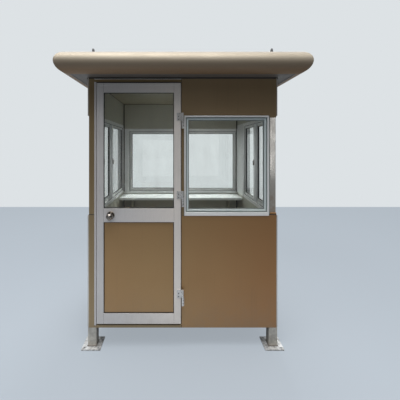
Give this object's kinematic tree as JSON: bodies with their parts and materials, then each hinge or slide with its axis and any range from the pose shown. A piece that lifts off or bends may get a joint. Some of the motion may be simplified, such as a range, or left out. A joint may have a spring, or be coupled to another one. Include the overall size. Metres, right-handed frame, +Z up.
{
  "type": "security guard booth",
  "caption": "Metal clad guard booth on short legs with a half-round roof edge, a glazed door that opens outwards, windows on all sides and a counter inside.",
  "frame": {"origin": "on the ground under the middle of the booth", "axes": "+Z up, the door and the fixed window face -Y, +X to the right of someone who faces the door"},
  "size_m": [1.9, 1.6, 2.404],
  "materials": {
    "champagne": "satin champagne metallic sheet, light dust",
    "roof_sheet": "satin champagne metallic sheet, formed half round",
    "stainless": "brushed stainless steel, slightly stained",
    "steel_frame": "grey primer",
    "aluminium": "satin anodised silver",
    "clear_glass": "clear float glass",
    "lining": "matt light grey board",
    "floor": "grey floor sheet",
    "desk": "white laminate",
    "polished": "polished stainless steel"
  },
  "bodies": {
    "booth": {"posts": "stainless", "legs": "stainless", "base_plates": "stainless", "base_rails": "steel_frame", "floor_joists": "steel_frame", "floor_panel": "floor", "top_rails": "steel_frame", "front_upper_panel": "champagne", "front_lower_panel": "champagne", "door_surround": "champagne", "side_upper_panels": "champagne", "side_lower_panels": "champagne", "right_rear_panel": "champagne", "back_upper_panel": "champagne", "back_lower_panel": "champagne", "wall_linings": "lining", "right_rear_lining": "lining", "door_frame": "aluminium", "hinge_brackets": "polished", "front_window_frame": "aluminium", "front_window_pane": "clear_glass", "left_window_frame": "aluminium", "left_window_sashes": "aluminium", "left_window_panes": "clear_glass", "right_window_frame": "aluminium", "right_window_sashes": "aluminium", "right_window_panes": "clear_glass", "back_window_frame": "aluminium", "back_window_sashes": "aluminium", "back_window_panes": "clear_glass", "front_eave": "roof_sheet", "back_eave": "roof_sheet", "side_eaves": "roof_sheet", "roof_deck": "roof_sheet", "soffit": "steel_frame", "roof_joists": "steel_frame", "ceiling_panel": "lining", "lifting_lugs": "steel_frame", "window_latches": "polished", "desk_top": "desk", "desk_brackets": "steel_frame"},
    "door": {"door_leaf": "aluminium", "door_glass": "clear_glass", "door_panel": "champagne", "hinge_leaves": "polished", "knob_roses": "polished"},
    "knob": {"knob": "polished"}
  },
  "joints": [
    {"name": "door_hinge", "type": "hinge", "parent": "booth", "child": "door", "pos_m": [0, -0.627, 1.2], "axis": [0, 0, 1], "range_deg": [0, 100]},
    {"name": "knob_turn", "type": "hinge", "parent": "door", "child": "knob", "pos_m": [-0.571, -0.605, 1.062], "axis": [0, 1, 0], "range_deg": [-60, 60], "stiffness_Nm_per_rad": 0.5}
  ]
}
